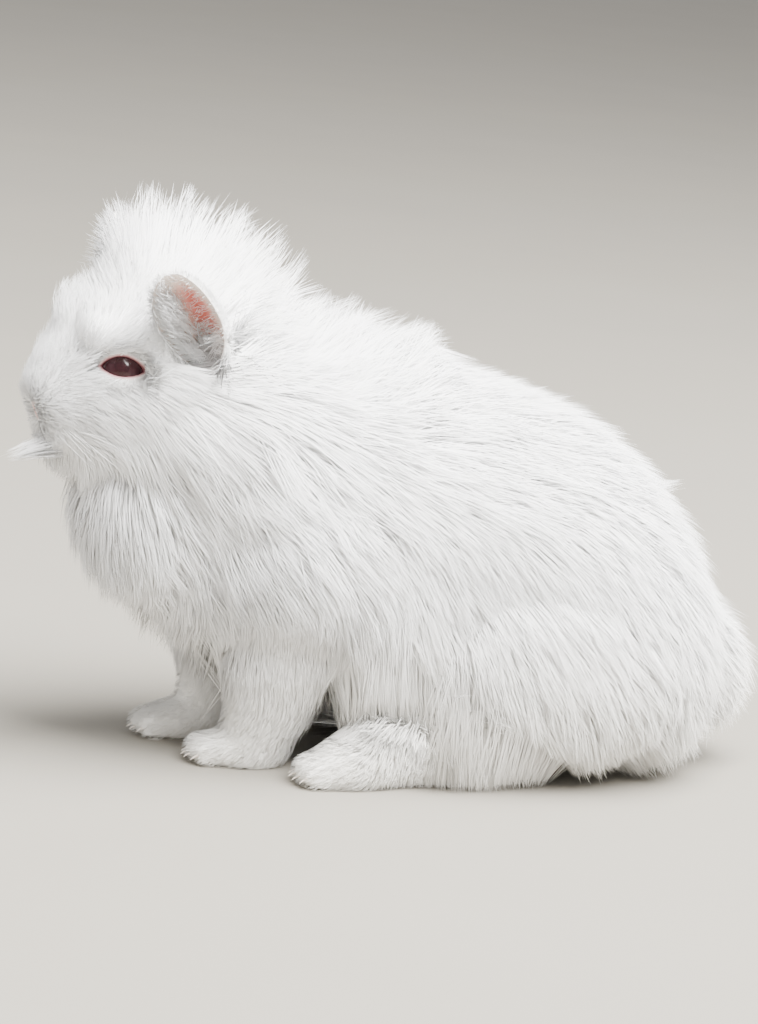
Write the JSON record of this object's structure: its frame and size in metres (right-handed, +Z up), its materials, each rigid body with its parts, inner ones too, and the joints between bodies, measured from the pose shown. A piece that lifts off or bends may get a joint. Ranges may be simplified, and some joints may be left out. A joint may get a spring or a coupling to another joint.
{
  "type": "young lionhead rabbit",
  "caption": "Life-size young white lionhead rabbit sitting on all feet, with a standing mane, long soft coat, short cupped ears and half-closed dark eyes.",
  "frame": {"origin": "on the floor, under the middle of the rabbit's bounding box", "axes": "+Z up, -Y the way the rabbit faces, +X its left side"},
  "size_m": [0.1054, 0.2272, 0.1608],
  "materials": {
    "coat": "soft white fur",
    "ear_skin": "thin pink skin, white at the back",
    "eye": "wet, dark red"
  },
  "bodies": {
    "root": {"ear_left": "ear_skin", "ear_right": "ear_skin", "eye_left": "eye", "eye_right": "eye", "foreleg_left": "coat", "foreleg_right": "coat", "head": "coat", "hindfoot_left": "coat", "hindfoot_right": "coat", "neck": "coat", "tail": "coat", "thigh_left": "coat", "thigh_right": "coat", "torso": "coat"}
  },
  "joints": []
}
